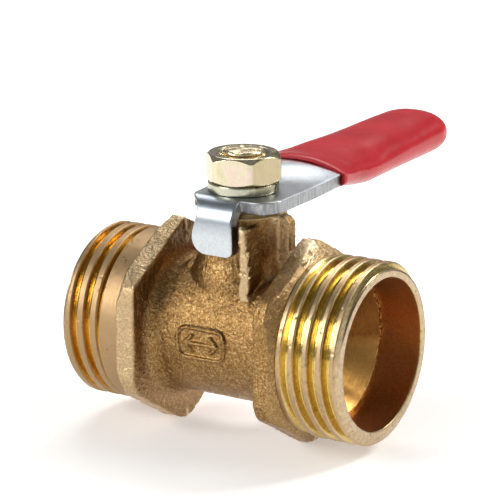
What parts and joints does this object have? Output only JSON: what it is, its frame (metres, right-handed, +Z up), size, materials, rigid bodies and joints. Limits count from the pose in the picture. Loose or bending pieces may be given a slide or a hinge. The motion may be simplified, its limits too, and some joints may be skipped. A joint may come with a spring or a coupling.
{
  "type": "ball valve",
  "caption": "Two-way ball valve with male pipe threads at both ends, cast hexagons, a short stem and a flat sleeved lever that turns a quarter turn against cast stops.",
  "frame": {"origin": "centre of the ball, where the flow axis crosses the stem axis", "axes": "+X along the flow axis towards the end that holds the retainer, +Z up the stem axis, +Y along the lever in the closed rest pose"},
  "size_m": [0.037, 0.0527, 0.0334],
  "materials": {
    "cast_brass": "cast, matt with turned bright ends",
    "turned_brass": "turned",
    "ptfe": "matt",
    "chromed_ball": "polished",
    "seal_rubber": "matt",
    "zinc_sheet": "zinc plated",
    "red_vinyl": "semi-gloss dipped vinyl",
    "plated_fastener": "yellow zinc plated"
  },
  "bodies": {
    "body": {"valve_body": "cast_brass", "retainer": "turned_brass", "left_seat": "ptfe", "right_seat": "ptfe", "thrust_washer": "ptfe"},
    "lever": {"stem": "turned_brass", "lower_o_ring": "seal_rubber", "upper_o_ring": "seal_rubber", "lever_plate": "zinc_sheet", "grip_sleeve": "red_vinyl", "spring_washer": "plated_fastener", "nut": "plated_fastener"},
    "ball": {"ball": "chromed_ball"}
  },
  "joints": [
    {"name": "lever_turn", "type": "hinge", "parent": "body", "child": "lever", "pos_m": [0, 0, 0], "axis": [0, 0, 1], "range_deg": [-90, 0]},
    {"name": "ball_turn", "type": "hinge", "parent": "body", "child": "ball", "pos_m": [0, 0, 0], "axis": [0, 0, 1], "range_deg": [-90, 0]}
  ],
  "couplings": [
    {"joint": "ball_turn", "follows": "lever_turn", "ratio": 1}
  ]
}
